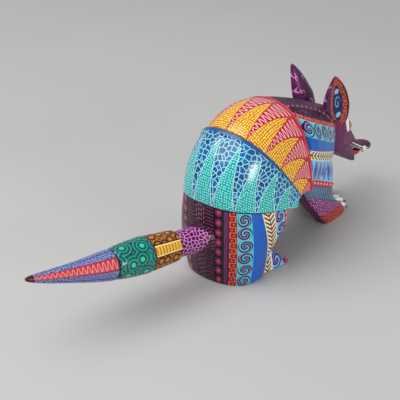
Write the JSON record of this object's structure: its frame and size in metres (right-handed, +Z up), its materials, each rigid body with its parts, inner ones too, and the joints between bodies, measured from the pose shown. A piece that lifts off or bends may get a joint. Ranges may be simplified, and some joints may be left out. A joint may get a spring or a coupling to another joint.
{
  "type": "alebrije figure",
  "caption": "Painted carved-wood armadillo figure in the Oaxacan alebrije style, with a domed two-part shell and push-fit ears and tail.",
  "frame": {"origin": "centre of the bounding box in plan, on the ground plane under the feet", "axes": "+Z up, +Y towards the tail, -Y towards the snout, +X towards the animal's left flank"},
  "size_m": [0.0736, 0.2998, 0.1073],
  "materials": {
    "torso_paint": "lacquered paint",
    "fore_paint": "lacquered paint",
    "rear_shell_paint": "lacquered paint",
    "front_shell_paint": "lacquered paint",
    "head_paint": "lacquered paint",
    "ear_paint": "lacquered paint",
    "red_paint": "lacquered paint",
    "white_paint": "lacquered paint",
    "ochre_paint": "lacquered paint",
    "teal_paint": "lacquered paint",
    "spike_paint": "lacquered paint",
    "bare_wood": "bare"
  },
  "bodies": {
    "figure": {"torso": "torso_paint", "forequarters": "fore_paint", "rear_shell": "rear_shell_paint", "front_shell": "front_shell_paint", "head": "head_paint", "tongue": "red_paint", "eye_left": "white_paint", "eye_right": "white_paint", "tooth_left": "white_paint", "tooth_right": "white_paint", "claw_left_1": "white_paint", "claw_left_2": "white_paint", "claw_left_3": "white_paint", "claw_right_1": "white_paint", "claw_right_2": "white_paint", "claw_right_3": "white_paint"},
    "tail_peg": {"tail_peg": "bare_wood"},
    "tail": {"tail_ring_ochre": "ochre_paint", "tail_ring_teal": "teal_paint", "tail_spike": "spike_paint"},
    "ear_left": {"ear_left": "ear_paint"},
    "ear_right": {"ear_right": "ear_paint"}
  },
  "joints": [
    {"name": "tail_pull", "type": "slide", "parent": "figure", "child": "tail_peg", "axis": [0.1729, 0.9806, 0.0924], "range_m": [0, 0.02]},
    {"name": "tail_twist", "type": "hinge", "parent": "tail_peg", "child": "tail", "pos_m": [0.0049, 0.05125, 0.0326], "axis": [0.1729, 0.9806, 0.0924], "range_deg": [-90, 90]},
    {"name": "ear_left_pull", "type": "slide", "parent": "figure", "child": "ear_left", "axis": [0.0762, 0.2952, 0.9524], "range_m": [0, 0.018]},
    {"name": "ear_right_pull", "type": "slide", "parent": "figure", "child": "ear_right", "axis": [-0.0762, 0.2952, 0.9524], "range_m": [0, 0.018]}
  ]
}
